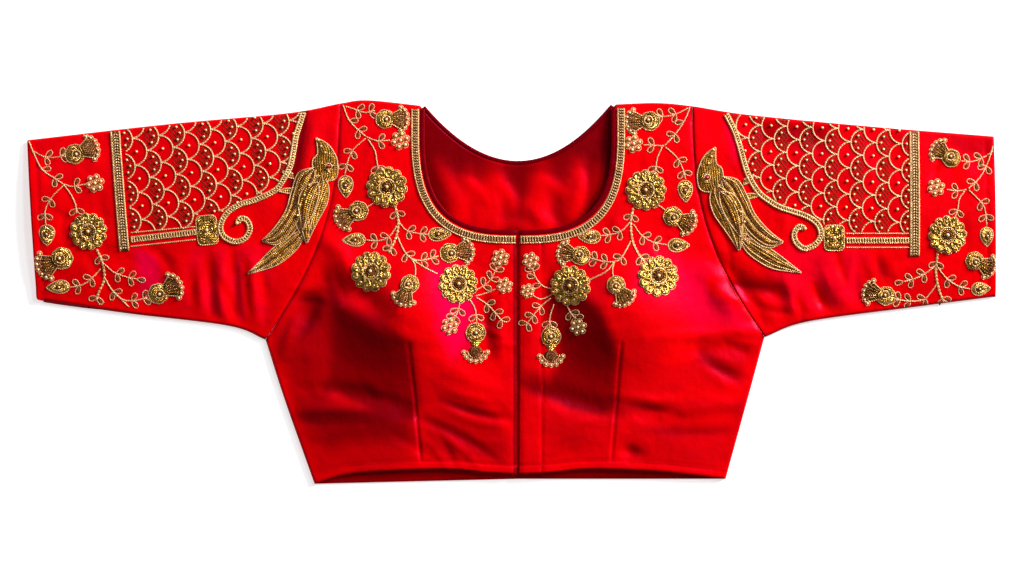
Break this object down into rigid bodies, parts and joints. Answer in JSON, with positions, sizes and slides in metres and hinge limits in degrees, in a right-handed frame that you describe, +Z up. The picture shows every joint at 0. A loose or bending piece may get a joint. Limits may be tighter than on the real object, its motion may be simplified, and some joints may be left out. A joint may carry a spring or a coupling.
{
  "type": "choli blouse",
  "caption": "Short fitted silk blouse with elbow sleeves, a wide scooped neck and a hooked centre front, laid flat on its back, with padded gold thread embroidery.",
  "frame": {"origin": "centre of the blouse's outline, on the surface it lies on", "axes": "+Z up out of the surface through the front, +Y from hem to neck, +X towards the wearer's left sleeve; seen from above the wearer's right sleeve is on the left"},
  "size_m": [0.9107, 0.361, 0.028],
  "materials": {
    "satin": "red satin silk, soft sheen",
    "piping": "dark crimson satin binding",
    "zari": "antique gold metal thread",
    "hook": "bent wire, nickel finish"
  },
  "bodies": {
    "root": {"back": "satin", "front_right": "satin", "front_left": "satin", "sleeve_right": "satin", "sleeve_left": "satin", "underlap": "satin", "piping_front_right": "piping", "piping_front_left": "piping", "piping_back": "piping", "hook_1": "hook", "hook_2": "hook", "hook_3": "hook", "hook_4": "hook", "hook_5": "hook", "hook_6": "hook", "flower_1": "zari", "flower_2": "zari", "flower_3": "zari", "flower_4": "zari", "flower_5": "zari", "flower_6": "zari", "flower_7": "zari", "flower_8": "zari", "bird_right": "zari", "bird_left": "zari", "border_cuff_right": "zari", "border_cuff_left": "zari", "border_neck_right": "zari", "border_neck_left": "zari"}
  },
  "joints": []
}
